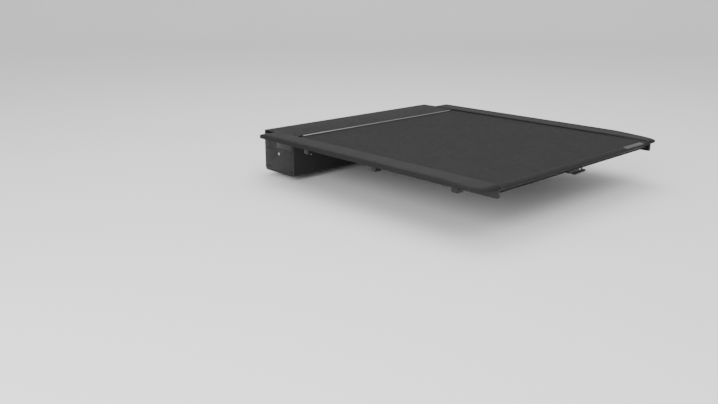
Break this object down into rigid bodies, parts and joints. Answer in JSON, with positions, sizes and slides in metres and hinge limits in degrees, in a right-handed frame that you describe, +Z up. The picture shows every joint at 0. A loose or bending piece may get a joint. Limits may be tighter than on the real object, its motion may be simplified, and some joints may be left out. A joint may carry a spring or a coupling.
{
  "type": "retractable tonneau cover",
  "caption": "Roll-up hard cover for a pickup bed: a slatted vinyl-topped curtain runs in side rails and winds into a canister at the cab end.",
  "frame": {"origin": "on the canister's bulkhead face, midway across, level with the tops of the bed sides", "axes": "+X to the truck's right, +Y towards the cab, +Z up"},
  "size_m": [1.562, 1.612, 0.2613],
  "materials": {
    "vinyl": "matte textured vinyl sheet",
    "black_aluminium": "black powder-coated aluminium",
    "grey_coat": "satin dark grey coated aluminium",
    "dull_aluminium": "dull brushed, unmarked",
    "bare_aluminium": "satin anodised",
    "steel": "zinc plated",
    "rubber": "matte black EPDM",
    "nylon": "smooth low-friction nylon",
    "cap_plastic": "fine-textured moulded plastic",
    "edge_plastic": "satin black moulded plastic",
    "black_plastic": "textured black moulded plastic"
  },
  "bodies": {
    "root": {"canister_trough": "black_aluminium", "canister_lid": "grey_coat", "lid_trim_strip": "bare_aluminium", "slot_wiper_seal": "rubber", "slot_guide": "nylon", "drum_axle": "steel", "spring_anchor": "steel", "torsion_spring": "steel", "curtain_lead": "vinyl", "curtain_slats": "black_aluminium", "curtain_skin": "vinyl", "canister_end_cap_left": "black_plastic", "canister_end_cap_right": "black_plastic", "canister_bracket_left": "black_aluminium", "canister_bracket_right": "black_aluminium", "drain_spigot_left": "black_plastic", "drain_spigot_right": "black_plastic", "side_rail_left": "black_aluminium", "side_rail_right": "black_aluminium", "rail_seal_left": "rubber", "rail_seal_right": "rubber", "rail_end_plug_left": "black_plastic", "rail_end_plug_right": "black_plastic", "rail_cap_left": "cap_plastic", "rail_cap_right": "cap_plastic", "cap_edge_left": "edge_plastic", "cap_edge_right": "edge_plastic", "latch_striker_left": "steel", "latch_striker_right": "steel", "clamp_jaw_left_1": "black_aluminium", "clamp_bolt_left_1": "steel", "clamp_jaw_left_2": "black_aluminium", "clamp_bolt_left_2": "steel", "clamp_jaw_left_3": "black_aluminium", "clamp_bolt_left_3": "steel", "clamp_jaw_right_1": "black_aluminium", "clamp_bolt_right_1": "steel", "clamp_jaw_right_2": "black_aluminium", "clamp_bolt_right_2": "steel", "clamp_jaw_right_3": "black_aluminium", "clamp_bolt_right_3": "steel"},
    "drum": {"drum_tube": "bare_aluminium", "drum_plug_left": "nylon", "drum_plug_right": "nylon", "drum_bush_left": "nylon", "drum_bush_right": "nylon", "curtain_roll": "vinyl"},
    "latch_bar": {"latch_bar": "grey_coat", "tailgate_seal": "rubber", "badge_plate": "dull_aluminium", "handle_housing": "black_plastic", "bar_cap_left": "black_plastic", "bar_cap_right": "black_plastic"},
    "handle": {"latch_handle": "black_plastic", "handle_cam": "steel"},
    "bolt_left": {"latch_rod_left": "steel", "latch_bolt_left": "steel"},
    "bolt_right": {"latch_rod_right": "steel", "latch_bolt_right": "steel"},
    "lock": {"lock_cylinder": "bare_aluminium"}
  },
  "joints": [
    {"name": "bar_slide", "type": "slide", "parent": "root", "child": "latch_bar", "axis": [0, 1, 0], "range_m": [0, 1.2], "deforming": ["curtain_skin", "curtain_slats"]},
    {"name": "drum_spin", "type": "hinge", "parent": "root", "child": "drum", "pos_m": [0, -0.128, -0.105], "axis": [-1, 0, 0], "range_deg": [0, 1206], "deforming": ["torsion_spring", "curtain_lead"]},
    {"name": "handle_turn", "type": "hinge", "parent": "latch_bar", "child": "handle", "pos_m": [0, -1.56, -0.04], "axis": [0, 0, 1], "range_deg": [0, 60]},
    {"name": "bolt_left_slide", "type": "slide", "parent": "latch_bar", "child": "bolt_left", "axis": [-1, 0, 0], "range_m": [0, 0.0141]},
    {"name": "bolt_right_slide", "type": "slide", "parent": "latch_bar", "child": "bolt_right", "axis": [1, 0, 0], "range_m": [0, 0.0141]},
    {"name": "key_turn", "type": "hinge", "parent": "latch_bar", "child": "lock", "pos_m": [0.035, -1.56, -0.042], "axis": [0, -1, 0], "range_deg": [0, 90]}
  ],
  "couplings": [
    {"joint": "drum_spin", "follows": "bar_slide", "rad_per_m": 17.5},
    {"joint": "bolt_left_slide", "follows": "handle_turn", "m_per_rad": 0.01337},
    {"joint": "bolt_right_slide", "follows": "handle_turn", "m_per_rad": 0.01337}
  ]
}
